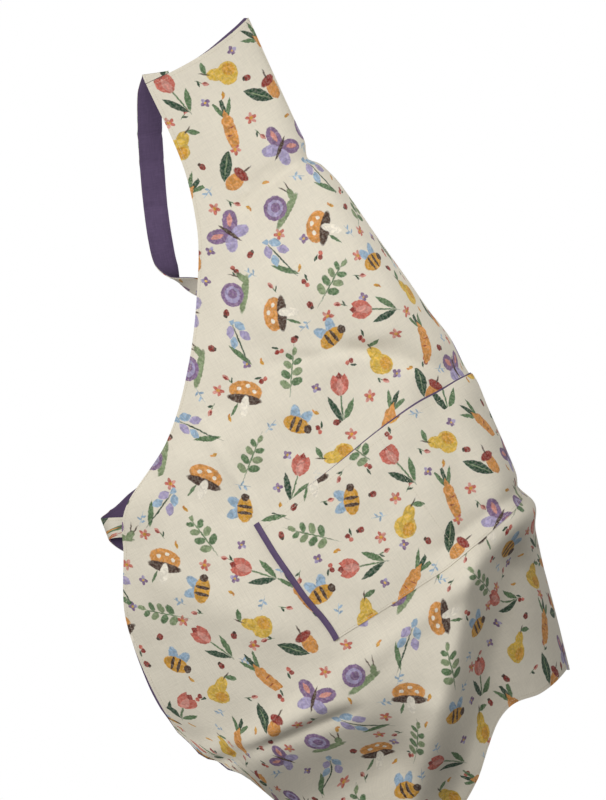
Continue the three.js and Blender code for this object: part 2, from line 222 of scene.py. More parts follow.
# Middle of a strap at places along it, the direction from one edge to the other, and its width
Station = namedtuple("Station", "x drop depth edge_x edge_drop edge_depth width")
STRAP_LEFT = (
    Station(-76, -4, 18, 0.9, 0.41, -0.14, 34),
    Station(-78, -3, 26, 0.88, 0.46, 0.15, 33),
    Station(-94, 10, 34, 0.87, 0.49, 0.38, 33),
    Station(-118, 45, 44, 0.88, 0.47, 0.42, 33),
    Station(-142, 86, 52, 0.88, 0.47, 0.25, 32),
    Station(-167, 132, 60, 0.89, 0.45, 0.1, 31),
    Station(-187, 174, 68, 0.92, 0.38, 0.12, 31),
    Station(-198, 204, 76, 0.8, 0.5, 0.35, 31),
    Station(-199, 226, 84, 0.25, 0.35, 0.9, 30),
    Station(-183, 247, 92, -0.35, 0.6, 0.72, 30),
    Station(-151, 277, 102, -0.6, 0.78, 0.1, 30),
    Station(-84, 338, 122, -0.68, 0.72, 0.08, 32),
    Station(-12, 408, 142, -0.6, 0.78, 0.15, 34),
    Station(34, 456, 154, -0.3, 0.92, 0.2, 36),
    Station(51, 482, 176, -0.05, 1, 0, 36),
    Station(53, 492, 204, 0, 1, 0, 36),
)
STRAP_RIGHT = (
    Station(46, 14, 25, 0.95, 0.02, 0.3, 30),
    Station(41, 36, 42, 0.98, 0.08, 0.18, 32),
    Station(26, 90, 60, 0.96, 0.26, 0, 32),
    Station(-6, 170, 68, 0.9, 0.42, 0, 32),
    Station(-58, 258, 76, 0.82, 0.56, 0, 33),
    Station(-140, 346, 88, 0.66, 0.75, 0, 36),
    Station(-252, 412, 104, 0.4, 0.92, 0, 44),
    Station(-354, 452, 114, 0.12, 0.99, 0, 62),
    Station(-410, 460, 118, -0.15, 0.98, 0, 66),
    Station(-441, 461, 112, -0.2, 0.97, 0, 60),
    Station(-453, 450, 100, -0.2, 0.97, 0, 30),
    Station(-445, 452, 88, -0.3, 0.95, 0, 27),
    Station(-427, 462, 82, -0.35, 0.93, 0, 26),
    Station(-400, 477, 76, -0.35, 0.93, 0, 26),
)

# Inks of the print
INKS = {
    "deep green": "#2b4a36", "fern": "#5b7a52", "sage": "#84966e", "mustard": "#d39a35", "straw": "#d8944a",
    "coral": "#c9695a", "brick": "#93362f", "rose": "#d69184", "lilac": "#85698f", "pale lilac": "#aa9fc3",
    "sky": "#9ab5cc", "bark": "#4c372e", "butter": "#dcb548", "milk": "#efe7d6",
}

# Strokes of each motif: an oval or a pointed leaf at x, y, with its half length and half width, and its turn
# in degrees
Stroke = namedtuple("Stroke", "shape x y long wide turn ink")
TULIP = (
    Stroke("oval", 0, -9, 17, 0.9, 90, "fern"),
    Stroke("leaf", -7, -12, 15, 3.4, 116, "deep green"),
    Stroke("leaf", 7, -14, 13, 3.2, 62, "fern"),
    Stroke("leaf", 0, 14, 11, 6, 90, "brick"),
    Stroke("leaf", -4, 12, 11, 5.6, 102, "coral"),
    Stroke("leaf", 4, 12, 11, 5.6, 78, "coral"),
    Stroke("leaf", 0, 10, 9, 4, 90, "rose"),
)
MUSHROOM = (
    Stroke("oval", 0, 5, 17, 11, 0, "straw"),
    Stroke("oval", 0, -3, 18, 5, 0, "bark"),
    Stroke("oval", 1, -10, 11, 4.6, 88, "milk"),
    Stroke("oval", -7, 7, 2.6, 2, 20, "milk"),
    Stroke("oval", 2, 11, 2.6, 1.9, 0, "milk"),
    Stroke("oval", 9, 6, 2.2, 1.8, -20, "milk"),
    Stroke("leaf", -9, -15, 8, 1.6, 70, "fern"),
)
BUTTERFLY = (
    Stroke("oval", -10, 7, 12, 7.5, 145, "lilac"),
    Stroke("oval", 10, 7, 12, 7.5, 35, "lilac"),
    Stroke("oval", -8, -7, 9, 6, 218, "pale lilac"),
    Stroke("oval", 8, -7, 9, 6, -38, "pale lilac"),
    Stroke("leaf", -11, 8, 7, 2.6, 145, "rose"),
    Stroke("leaf", 11, 8, 7, 2.6, 35, "rose"),
    Stroke("leaf", 0, 0, 14, 2, 90, "bark"),
)
PEAR = (
    Stroke("oval", 0, -7, 12, 11, 0, "butter"),
    Stroke("oval", 0, 5, 10, 6.4, 90, "butter"),
    Stroke("oval", 4, -8, 7, 6, 60, "mustard"),
    Stroke("oval", 1, 17, 5, 0.9, 78, "bark"),
    Stroke("leaf", 7, 18, 7, 2.8, 18, "fern"),
)
EUCALYPTUS = (
    Stroke("oval", 0, -2, 23, 0.7, 90, "fern"),
    Stroke("oval", -6, -15, 6, 3.8, 150, "sage"),
    Stroke("oval", 6, -11, 6, 3.8, 30, "fern"),
    Stroke("oval", -6, -5, 5.8, 3.6, 150, "fern"),
    Stroke("oval", 6, -1, 5.6, 3.6, 30, "sage"),
    Stroke("oval", -5, 5, 5.2, 3.2, 146, "sage"),
    Stroke("oval", 5, 9, 5, 3, 34, "fern"),
    Stroke("oval", -4, 14, 4.4, 2.6, 140, "fern"),
    Stroke("oval", 1, 20, 4.4, 2.4, 80, "sage"),
)
SNAIL = (
    Stroke("oval", 1, -10, 20, 4, 2, "sage"),
    Stroke("oval", 17, -5, 7, 3.4, 60, "sage"),
    Stroke("oval", 22, 3, 5, 0.7, 66, "bark"),
    Stroke("oval", 17, 4, 5, 0.7, 92, "bark"),
    Stroke("oval", -3, 2, 12.5, 12, 0, "lilac"),
    Stroke("oval", -3, 2, 8.6, 8.2, 0, "pale lilac"),
    Stroke("oval", -2, 2, 5, 4.8, 0, "lilac"),
)
CARROT = (
    Stroke("leaf", -5, 16, 12, 2.2, 114, "fern"),
    Stroke("leaf", 5, 16, 12, 2.2, 66, "fern"),
    Stroke("leaf", 0, 18, 13, 2.4, 90, "deep green"),
    Stroke("leaf", 0, -9, 25, 6.4, 90, "straw"),
    Stroke("oval", 0, 3, 6.2, 6.4, 0, "straw"),
    Stroke("oval", 2, -4, 3, 0.6, 8, "brick"),
    Stroke("oval", -2, -12, 2.4, 0.6, -8, "brick"),
)
BEE = (
    Stroke("oval", -5, 10, 9, 5, 118, "sky"),
    Stroke("oval", 6, 10, 9, 5, 62, "sky"),
    Stroke("oval", 0, 0, 14, 8.4, 0, "mustard"),
    Stroke("oval", -4, 0, 1.8, 7.8, 0, "bark"),
    Stroke("oval", 3, 0, 1.8, 8, 0, "bark"),
    Stroke("oval", 13, 0, 4, 4.4, 0, "bark"),
)
BLUEBELL = (
    Stroke("leaf", -6, -13, 15, 2.8, 112, "fern"),
    Stroke("oval", 0, -3, 22, 0.8, 82, "deep green"),
    Stroke("leaf", 9, 13, 7, 4.4, -62, "sky"),
    Stroke("leaf", -3, 12, 7, 4.2, 236, "pale lilac"),
    Stroke("leaf", 9, 2, 7, 4.4, -66, "pale lilac"),
    Stroke("leaf", -5, 1, 6.6, 4, 240, "sky"),
    Stroke("leaf", 4, 22, 5.4, 3, 70, "sky"),
)
ACORN = (
    Stroke("leaf", -11, 3, 17, 6, 118, "deep green"),
    Stroke("leaf", -11, 3, 14, 0.6, 118, "sage"),
    Stroke("oval", 5, -5, 11, 7.4, 80, "straw"),
    Stroke("oval", 6, 5, 9, 4.6, -10, "brick"),
    Stroke("oval", 8, 12, 5, 0.9, 70, "bark"),
)
DAISY = (
    Stroke("oval", 0, 4.4, 3.6, 2.2, 90, "coral"),
    Stroke("oval", 4.2, 1.4, 3.6, 2.2, 18, "coral"),
    Stroke("oval", 2.6, -3.6, 3.6, 2.2, -54, "rose"),
    Stroke("oval", -2.6, -3.6, 3.6, 2.2, 234, "coral"),
    Stroke("oval", -4.2, 1.4, 3.6, 2.2, 162, "rose"),
    Stroke("oval", 0, 0, 2.2, 2.2, 0, "mustard"),
)
BERRIES = (
    Stroke("leaf", -2, 5, 5, 1.6, 140, "deep green"),
    Stroke("oval", -2.4, -1, 3.4, 3.2, 0, "brick"),
    Stroke("oval", 3.4, -2.6, 3, 2.8, 0, "coral"),
)
BUD = (
    Stroke("oval", 0, -4, 5.4, 0.7, 84, "fern"),
    Stroke("leaf", 2.6, -4.6, 4, 1.4, 40, "deep green"),
    Stroke("leaf", 0, 3.4, 5, 2.8, 90, "rose"),
    Stroke("leaf", -1, 3, 3.4, 1.4, 100, "brick"),
)
LADYBIRD = (
    Stroke("oval", 0, 0, 4.8, 4, 0, "brick"),
    Stroke("oval", 4.6, 0, 1.8, 2.6, 0, "bark"),
    Stroke("oval", -1.4, 1.7, 0.9, 0.9, 0, "bark"),
    Stroke("oval", 0.6, -1.8, 0.9, 0.9, 0, "bark"),
)
BLOSSOM = (
    Stroke("oval", 0, 3.2, 3.2, 2.4, 90, "lilac"),
    Stroke("oval", 3.2, 0, 3.2, 2.4, 0, "lilac"),
    Stroke("oval", 0, -3.2, 3.2, 2.4, 90, "pale lilac"),
    Stroke("oval", -3.2, 0, 3.2, 2.4, 0, "lilac"),
    Stroke("oval", 0, 0, 1.5, 1.5, 0, "butter"),
)
TWIG = (
    Stroke("oval", 0, 0, 8, 0.5, 80, "sky"),
    Stroke("leaf", 3, 3, 4, 1.4, 30, "sky"),
    Stroke("leaf", -3, -1, 4, 1.4, 150, "sky"),
    Stroke("leaf", 2.6, -4, 3.6, 1.3, 24, "sky"),
)
SEED = (
    Stroke("leaf", 0, 0, 4.4, 2.2, 60, "mustard"),
    Stroke("leaf", 2.6, 2.8, 3, 1.5, 20, "straw"),
)

# Tossed layouts: each row of cells is set half a cell over, and a motif wanders and turns within its cell
Layout = namedtuple("Layout", "pitch_x pitch_y steps_x steps_y wander turn size motifs")
LARGE = Layout(70, 62, 3, 4, 7, 70, 1.25,
               (TULIP, MUSHROOM, BUTTERFLY, PEAR, EUCALYPTUS, SNAIL, CARROT, BEE, BLUEBELL, ACORN))
SMALL = Layout(25, 24, 2, 3, 7, 180, 1.0, (DAISY, BERRIES, BUD, LADYBIRD, BLOSSOM, TWIG, SEED))
LARGE_CLEAR = 25  # a small motif's cell keeps this far from a large motif's middle, in the large one's units
MOTIFS_APART = 1000.0  # motifs of a layout lie this far from each other, so that a cell sees only one of them


def linear(code):
    """sRGB hex to linear RGBA"""
    parts = [int(code[i:i + 2], 16) / 255 for i in (1, 3, 5)]
    return [p / 12.92 if p <= 0.04045 else ((p + 0.055) / 1.055) ** 2.4 for p in parts] + [1.0]


def smoothstep(x, low, high):
    """0 up to low, 1 from high on, and an eased rise between them"""
    t = np.clip((x - low) / (high - low), 0.0, 1.0)
    return t * t * (3.0 - 2.0 * t)


def read_table(rows, key, column, x):
    """Smooth curve through one column of a table, with the slope at each row taken from its neighbours"""
    xs = np.array([getattr(row, key) for row in rows], float)
    ys = np.array([getattr(row, column) for row in rows], float)
    after = np.minimum(np.arange(len(xs)) + 1, len(xs) - 1)
    before = np.maximum(np.arange(len(xs)) - 1, 0)
    slope = (ys[after] - ys[before]) / (xs[after] - xs[before])
    x = np.asarray(x, float)
    i = np.clip(np.searchsorted(xs, x, side="left") - 1, 0, len(xs) - 2)
    span = xs[i + 1] - xs[i]
    t = np.clip((x - xs[i]) / span, 0.0, 1.0)
    return ((2 * t**3 - 3 * t**2 + 1) * ys[i] + (t**3 - 2 * t**2 + t) * span * slope[i]
            + (3 * t**2 - 2 * t**3) * ys[i + 1] + (t**3 - t**2) * span * slope[i + 1])


def section(column, drop):
    """One column of the body's sections at a drop"""
    return read_table(SECTIONS, "drop", column, drop)


def fold_moves(x, drop):
    """How far the folds lift the cloth off its face, and how far they set it back"""
    lift, fall = np.zeros_like(x), np.zeros_like(x)
    for fold in FOLDS:
        du, dv = fold.u1 - fold.u0, fold.v1 - fold.v0
        length = math.hypot(du, dv)
        along = ((x - fold.u0) * du + (drop - fold.v0) * dv) / length**2
        aside = ((x - fold.u0) * dv - (drop - fold.v0) * du) / length
        fade = smoothstep(along, *FADE_IN)
        if not fold.open:
            fade = fade * (1 - smoothstep(along, *FADE_OUT))
        lift += fold.rise * np.exp(-((aside / fold.reach) ** 2)) * fade
        fall += fold.fall * smoothstep(aside, -fold.reach, fold.reach) * fade
    return lift, fall


def body_point(across, drop):
    """Points of the body: across is -1 on the left edge, 0 on the centre line and 1 on the right edge"""
    across, drop = np.broadcast_arrays(np.asarray(across, float), np.asarray(drop, float))
    middle, front = section("middle", drop), section("front", drop)
    dip = NECK_DIP * np.cos(across * math.pi / 2) * np.maximum(0, 1 - drop / NECK_EASE)
    left_half, left_fall = middle - section("left", drop), section("left_back", drop)
    right_half, back = section("right", drop) - middle, section("right_back", drop)
    turn = np.maximum(across, 0) * np.radians(section("wrap", drop))
    open_turn = 1 - np.cos(turn)
    on_left = across <= 0
    x = np.where(on_left, middle + across * left_half, middle + right_half * np.sin(turn))
    y = np.where(on_left, front + left_fall * across**2, front + back * open_turn**WRAP_ROUND)
    normal_x = np.where(on_left, 2 * left_fall * across / left_half,
                        back * WRAP_ROUND * open_turn**(WRAP_ROUND - 1) * np.sin(turn))
    normal_y = np.where(on_left, -1.0, -right_half * np.cos(turn))
    beyond = middle + right_half * (1 + turn - math.pi / 2)
    fold_x = np.where(turn < math.pi / 2, x, beyond)
    lift, fall = fold_moves(fold_x, drop)
    lift = lift / np.hypot(normal_x, normal_y)
    return np.stack([x + normal_x * lift, y + normal_y * lift + fall, -(drop + dip)], -1)


def pocket_share(drop):
    """Share of the body's left half that the pocket takes up at a drop"""
    level = np.minimum(drop, POCKET_FOOT)
    return np.minimum(POCKET_LEFT / (section("middle", level) - section("left", level)), POCKET_LARGEST)


def column_across(column, drop):
    """Where a mesh column lies across the body: quarters of the columns meet at the pocket's sides"""
    step = (column - 2 * COLUMNS_PER_QUARTER) / COLUMNS_PER_QUARTER
    inner = np.where(step < 0, pocket_share(drop), POCKET_TURN)
    size = np.abs(step)
    return np.sign(step) * np.where(size <= 1, size * inner, inner + (size - 1) * (1 - inner))


def row_drop(row, column):
    """Drop of a mesh row: rows follow the pocket's mouth, its foot and the hem"""
    step = (column - 2 * COLUMNS_PER_QUARTER) / COLUMNS_PER_QUARTER
    outside = np.maximum(np.abs(step) - 1, 0)
    top = read_table(MOUTH, "step", "drop", step)
    start = POCKET_FOOT - EDGE_LIFT * outside**2 - CORNER_LIFT * np.clip(step, 0, 1)
    hem = read_table(HEM, "across", "drop", column_across(column, start))
    above = top * row / ROWS_ABOVE_POCKET
    beside = top + (start - top) * (row - ROWS_ABOVE_POCKET) / ROWS_AT_POCKET
    below = start + (hem - start) * (row - ROWS_ABOVE_POCKET - ROWS_AT_POCKET) / ROWS_BELOW_POCKET
    return np.where(row <= ROWS_ABOVE_POCKET, above,
                    np.where(row <= ROWS_ABOVE_POCKET + ROWS_AT_POCKET, beside, below))


def unit(vectors):
    return vectors / np.linalg.norm(vectors, axis=-1, keepdims=True)


def front_normals(points):
    """Directions off the face of a grid of points"""
    return unit(np.cross(np.gradient(points, axis=0), np.gradient(points, axis=1)))


HANG_POINT = body_point(1.0, 0.0)


def hung(points):
    """From the apron's own frame to the frame it hangs in, in metres"""
    x, y, z = np.moveaxis(points - HANG_POINT, -1, 0)
    c, s = math.cos(HANG_TILT), math.sin(HANG_TILT)
    return np.stack([c * x - s * z, y, s * x + c * z], -1) * MM


def rumple(x, drop):
    """Depth of the soft dents that the cloth keeps from being folded away: waves that cross at many angles"""
    draw = np.random.default_rng(RUMPLE_SEED)
    depth = np.zeros_like(x)
    for length in np.linspace(*RUMPLE_LENGTHS, RUMPLE_WAVES):
        way, start = draw.uniform(0, 2 * math.pi, 2)
        along = x * math.cos(way) + drop * math.sin(way)
        wave = np.sin(2 * math.pi * along / length + start)
        depth += RUMPLE_SLOPE * length / (2 * math.pi) * wave
    return depth


def body_grid():
    """Grid of points between the two layers of the body"""
    row, column = np.meshgrid(np.arange(ROWS + 1.0), np.arange(COLUMNS + 1.0), indexing="ij")
    drop = row_drop(row, column)
    points = body_point(column_across(column, drop), drop)
    points[..., 1] += rumple(points[..., 0], drop)
    return points


def cloth_lengths(points, first_column):
    """Flat coordinates of a grid of cloth, measured along its rows and columns, in millimetres"""
    row_steps = np.linalg.norm(np.diff(points, axis=1), axis=-1)
    u = np.concatenate([np.zeros((len(points), 1)), np.cumsum(row_steps, axis=1)], axis=1)
    u = u - u[:, first_column:first_column + 1] + points[:, first_column:first_column + 1, 0]
    column_steps = np.hypot(np.diff(points[..., 1], axis=0), np.diff(points[..., 2], axis=0))
    v = np.concatenate([np.zeros((1, points.shape[1])), np.cumsum(column_steps, axis=0)], axis=0)
    return np.stack([u, -v], -1)


def cloth_wall(name, points, normals, layer, flat, material):
    """Closed layer of cloth between two distances from a grid, with its flat lengths in metres as UV map"""
    near, far = layer
    rows, columns = points.shape[0] - 1, points.shape[1] - 1
    sides = [hung(points + normals * offset).reshape(-1, 3) for offset in (far, near)]
    index = np.arange((rows + 1) * (columns + 1)).reshape(rows + 1, columns + 1)
    front = np.stack([index[:-1, :-1], index[1:, :-1], index[1:, 1:], index[:-1, 1:]], -1).reshape(-1, 4)
    back = front[:, ::-1] + index.size
    rim_line = np.concatenate([index[0, :-1], index[:-1, -1], index[-1, :0:-1], index[:0:-1, 0]])
    ahead = np.roll(rim_line, -1)
    rim = np.stack([rim_line, ahead, ahead + index.size, rim_line + index.size], -1)
    faces = np.concatenate([front, back, rim])
    mesh = bpy.data.meshes.new(name)
    mesh.from_pydata(np.concatenate(sides).tolist(), [], faces.tolist())
    uv = np.tile(flat.reshape(-1, 2) * MM, (2, 1))
    layer = mesh.uv_layers.new(name="cloth")
    layer.data.foreach_set("uv", uv[faces.reshape(-1)].reshape(-1))
    mesh.polygons.foreach_set("use_smooth", np.ones(len(faces), bool))
    mesh.set_sharp_from_angle(angle=SHARP_EDGE)
    mesh.materials.append(material)
    if mesh.validate():
        raise RuntimeError(f"{name}: the cloth has a bad face")
    piece = bpy.data.objects.new(name, mesh)
    bpy.context.collection.objects.link(piece)
    return piece


def add_node(tree, kind, links=None, **settings):
    """Adds a node with its settings, and sets or links its inputs"""
    node = tree.nodes.new(kind)
    for key, value in settings.items():
        setattr(node, key, value)
    for socket, value in (links or {}).items():
        if isinstance(value, bpy.types.Node):
            value = next(output for output in value.outputs if output.enabled)
        if isinstance(value, bpy.types.NodeSocket):
            tree.links.new(value, node.inputs[socket])
        else:
            node.inputs[socket].default_value = value
    return node


def toss(tree, place, layout):
    """Place in a tossed layout: in its motif's own millimetres, then its cell, and its place in that cell"""
    width, height = layout.pitch_x, layout.pitch_y
    stray, turn = layout.wander, math.radians(layout.turn)
    scaled = add_node(tree, "ShaderNodeVectorMath", {0: place, 1: (1 / width, 1 / height, 0)},
                      operation="MULTIPLY")
    parts = add_node(tree, "ShaderNodeSeparateXYZ", {0: scaled})
    row = add_node(tree, "ShaderNodeMath", {0: parts.outputs["Y"]}, operation="FLOOR")
    half = add_node(tree, "ShaderNodeMath", {0: row, 1: 0.5}, operation="MULTIPLY")
    over = add_node(tree, "ShaderNodeCombineXYZ", {"X": half})
    shifted = add_node(tree, "ShaderNodeVectorMath", {0: scaled, 1: over}, operation="ADD")
    cell = add_node(tree, "ShaderNodeVectorMath", {0: shifted}, operation="FLOOR")
    chance = add_node(tree, "ShaderNodeTexWhiteNoise", {"Vector": cell}, noise_dimensions="3D")
    inside = add_node(tree, "ShaderNodeVectorMath", {0: shifted, 1: cell}, operation="SUBTRACT")
    local = add_node(tree, "ShaderNodeVectorMath",
                     {0: inside, 1: (width, height, 0), 2: (-width / 2, -height / 2, 0)},
                     operation="MULTIPLY_ADD")
    wander = add_node(tree, "ShaderNodeVectorMath",
                      {0: chance.outputs["Color"], 1: (2 * stray, 2 * stray, 0), 2: (-stray, -stray, 0)},
                      operation="MULTIPLY_ADD")
    moved = add_node(tree, "ShaderNodeVectorMath", {0: local, 1: wander}, operation="SUBTRACT")
    angle = add_node(tree, "ShaderNodeMapRange",
                     {"Value": chance.outputs["Value"], "To Min": -turn, "To Max": turn})
    turned = add_node(tree, "ShaderNodeVectorRotate", {"Vector": moved, "Angle": angle},
                      rotation_type="Z_AXIS")
    sized = add_node(tree, "ShaderNodeVectorMath", {0: turned, "Scale": 1 / layout.size}, operation="SCALE")
    return sized, cell, inside


def draw_motifs(tree, colour, place, cell, layout):
    """Draws each cell's motif over the colour, stroke by stroke"""
    spread = add_node(tree, "ShaderNodeVectorMath", {0: cell, 1: (layout.steps_x, layout.steps_y, 0)},
                      operation="DOT_PRODUCT")
    choice = add_node(tree, "ShaderNodeMath", {0: spread.outputs["Value"], 1: len(layout.motifs)},
                      operation="FLOORED_MODULO")
    # Motifs lie in a row, and each cell looks at one of them
    far = add_node(tree, "ShaderNodeMath", {0: choice, 1: MOTIFS_APART}, operation="MULTIPLY")
    shift = add_node(tree, "ShaderNodeCombineXYZ", {"X": far})
    own = add_node(tree, "ShaderNodeVectorMath", {0: place, 1: shift}, operation="ADD")
    for motif in layout.motifs:
        for stroke in motif:
            middle = (stroke.x, stroke.y, 0)
            turned = add_node(tree, "ShaderNodeVectorRotate",
                              {"Vector": own, "Center": middle, "Angle": -math.radians(stroke.turn)},
                              rotation_type="Z_AXIS")
            mapped = add_node(tree, "ShaderNodeVectorMath",
                              {0: turned, 1: (1 / stroke.long, 1 / stroke.wide, 0),
                               2: (-stroke.x / stroke.long, -stroke.y / stroke.wide, 0)},
                              operation="MULTIPLY_ADD")
            if stroke.shape == "oval":
                size = add_node(tree, "ShaderNodeVectorMath", {0: mapped}, operation="LENGTH")
            else:
                # x squared plus y gives two arcs that meet in a point at each end
                folded = add_node(tree, "ShaderNodeVectorMath", {0: mapped}, operation="ABSOLUTE")
                weight = add_node(tree, "ShaderNodeVectorMath", {0: folded, 1: (0, 1, 0)},
                                  operation="MAXIMUM")
                size = add_node(tree, "ShaderNodeVectorMath", {0: folded, 1: weight}, operation="DOT_PRODUCT")
            edge = INK_SOFT / stroke.wide
            cover = add_node(tree, "ShaderNodeMapRange",
                             {"Value": size, "From Min": 1 + edge, "From Max": 1 - edge}, clamp=False)
            colour = add_node(tree, "ShaderNodeMix", {0: cover, 6: colour, 7: linear(INKS[stroke.ink])},
                              data_type="RGBA")
        own = add_node(tree, "ShaderNodeVectorMath", {0: own, 1: (-MOTIFS_APART, 0, 0)}, operation="ADD")
    return colour


def new_material(name):
    """Empty material and its node tree"""
    material = bpy.data.materials.new(name)
    material.use_nodes = True
    material.node_tree.nodes.clear()
    return material, material.node_tree


def woven(tree, place, colour, strength):
    """Plain weave on a cloth colour: slubs along both threads vary the colour and raise the surface"""
    warp = add_node(tree, "ShaderNodeMapping", {"Vector": place, "Scale": (1 / SLUB_THICK, 1 / SLUB_LONG, 1)})
    warp_slub = add_node(tree, "ShaderNodeTexNoise", {"Vector": warp, "Scale": 1.0, "Detail": 3.0},
                         noise_dimensions="2D")
    weft = add_node(tree, "ShaderNodeMapping", {"Vector": place, "Scale": (1 / SLUB_LONG, 1 / SLUB_THICK, 1)})
    weft_slub = add_node(tree, "ShaderNodeTexNoise", {"Vector": weft, "Scale": 1.0, "Detail": 3.0},
                         noise_dimensions="2D")
    slub = add_node(tree, "ShaderNodeMath", {0: warp_slub, 1: weft_slub}, operation="ADD")
    shade = add_node(tree, "ShaderNodeMapRange", {"Value": slub, "From Min": 0.6, "From Max": 1.4,
                                                  "To Min": 1 - strength, "To Max": 1 + strength})
    varied = add_node(tree, "ShaderNodeVectorMath", {0: colour, "Scale": shade}, operation="SCALE")
    bump = add_node(tree, "ShaderNodeBump", {"Strength": 0.35, "Distance": 0.0006, "Height": slub})
    return varied, bump


def cloth_shader(tree, colour, bump, roughness, sheen):
    """Matt surface of cotton or thread, with the short fibres that lighten it towards its outline"""
    shader = add_node(tree, "ShaderNodeBsdfPrincipled",
                      {"Base Color": colour, "Normal": bump, "Roughness": roughness,
                       "Specular IOR Level": 0.25, "Sheen Weight": sheen, "Sheen Roughness": 0.5})
    add_node(tree, "ShaderNodeOutputMaterial", {"Surface": shader})


def printed_cotton(settings):
    """Plain-weave cotton, pigment printed: matt, slightly warm ground, inks that sink into the thread"""
    material, tree = new_material("Printed cotton")
    flat = add_node(tree, "ShaderNodeUVMap", uv_map="cloth")
    place = add_node(tree, "ShaderNodeVectorMath", {0: flat, 1: (1 / MM, 1 / MM, 0)}, operation="MULTIPLY")
    wobble = add_node(tree, "ShaderNodeTexNoise", {"Vector": place, "Scale": 1 / LINE_WAVER, "Detail": 2.0},
                      noise_dimensions="2D")
    nudge = add_node(tree, "ShaderNodeVectorMath",
                     {0: wobble.outputs["Color"], 1: (2 * LINE_STRAY, 2 * LINE_STRAY, 0),
                      2: (-LINE_STRAY, -LINE_STRAY, 0)}, operation="MULTIPLY_ADD")
    drawn = add_node(tree, "ShaderNodeVectorMath", {0: place, 1: nudge}, operation="ADD")
    small_place, small_cell, small_inside = toss(tree, drawn, SMALL)
    # Middle of the small cell on the cloth, to keep small motifs clear of large ones
    to_middle = add_node(tree, "ShaderNodeVectorMath",
                         {0: small_inside, 1: (-SMALL.pitch_x, -SMALL.pitch_y, 0),
                          2: (SMALL.pitch_x / 2, SMALL.pitch_y / 2, 0)}, operation="MULTIPLY_ADD")
    middle = add_node(tree, "ShaderNodeVectorMath", {0: drawn, 1: to_middle}, operation="ADD")
    from_large, _, _ = toss(tree, middle, LARGE)
    distance = add_node(tree, "ShaderNodeVectorMath", {0: from_large}, operation="LENGTH")
    crowded = add_node(tree, "ShaderNodeMath", {0: distance, 1: LARGE_CLEAR}, operation="LESS_THAN")
    away = add_node(tree, "ShaderNodeMath", {0: crowded, 1: MOTIFS_APART}, operation="MULTIPLY")
    aside = add_node(tree, "ShaderNodeCombineXYZ", {"Y": away})
    kept = add_node(tree, "ShaderNodeVectorMath", {0: small_place, 1: aside}, operation="ADD")
    ground = add_node(tree, "ShaderNodeRGB")
    ground.outputs[0].default_value = (*settings.ground_colour, 1.0)
    colour = draw_motifs(tree, ground, kept, small_cell, SMALL)
    large_place, large_cell, _ = toss(tree, drawn, LARGE)
    colour = draw_motifs(tree, colour, large_place, large_cell, LARGE)
    brush = add_node(tree, "ShaderNodeTexNoise", {"Vector": place, "Scale": 1 / DRY_BRUSH, "Detail": 4.0},
                     noise_dimensions="2D")
    dry = add_node(tree, "ShaderNodeMapRange",
                   {"Value": brush, "From Min": 0.4, "From Max": 0.8, "To Min": 0.0, "To Max": 0.25})
    inked = add_node(tree, "ShaderNodeMix", {0: dry, 6: colour, 7: ground}, data_type="RGBA")
    # Brush marks: the ink is laid on unevenly, the bare ground is not
    marks = add_node(tree, "ShaderNodeTexNoise",
                     {"Vector": place, "Scale": 1 / BRUSH_MARK, "Detail": 3.0, "Distortion": 0.8},
                     noise_dimensions="2D")
    tone = add_node(tree, "ShaderNodeMapRange",
                    {"Value": marks, "From Min": 0.3, "From Max": 0.7, "To Min": 0.7, "To Max": 1.15})
    toned = add_node(tree, "ShaderNodeVectorMath", {0: inked, "Scale": tone}, operation="SCALE")
    strength = add_node(tree, "ShaderNodeVectorMath", {0: colour, 1: ground}, operation="DISTANCE")
    loaded = add_node(tree, "ShaderNodeMapRange", {"Value": strength, "From Max": 0.25})
    printed = add_node(tree, "ShaderNodeMix", {0: loaded, 6: inked, 7: toned}, data_type="RGBA")
    varied, bump = woven(tree, place, printed, strength=0.05)
    cloth_shader(tree, varied, bump, roughness=0.86, sheen=0.08)
    return material


def plum_cotton(settings):
    """Piece-dyed plain-weave cotton: matt plum with paler slubs"""
    material, tree = new_material("Plum dyed cotton")
    flat = add_node(tree, "ShaderNodeUVMap", uv_map="cloth")
    place = add_node(tree, "ShaderNodeVectorMath", {0: flat, 1: (1 / MM, 1 / MM, 0)}, operation="MULTIPLY")
    tone = add_node(tree, "ShaderNodeTexNoise", {"Vector": place, "Scale": 1 / DYE_PATCH, "Detail": 3.0},
                    noise_dimensions="2D")
    dye = add_node(tree, "ShaderNodeValToRGB", {"Fac": tone})
    for element, position, depth in zip(dye.color_ramp.elements, (0.3, 0.7), DYE_DEPTHS):
        element.position = position
        element.color = (*(depth * part for part in settings.plum_colour), 1.0)
    varied, bump = woven(tree, place, dye, strength=0.1)
    cloth_shader(tree, varied, bump, roughness=0.88, sheen=0.12)
    return material


def sewing_thread(name, colour):
    """Spun polyester sewing thread: a slight gloss on a round twist"""
    material, tree = new_material(name)
    place = add_node(tree, "ShaderNodeTexCoord")
    ply = add_node(tree, "ShaderNodeTexNoise",
                   {"Vector": place.outputs["Object"], "Scale": 1 / (THREAD_TWIST * MM), "Detail": 2.0})
    tone = add_node(tree, "ShaderNodeMapRange", {"Value": ply, "To Min": 0.8, "To Max": 1.1})
    varied = add_node(tree, "ShaderNodeVectorMath", {0: colour[:3], "Scale": tone}, operation="SCALE")
    bump = add_node(tree, "ShaderNodeBump", {"Strength": 0.3, "Distance": 0.0002, "Height": ply})
    cloth_shader(tree, varied, bump, roughness=0.6, sheen=0.05)
    return material


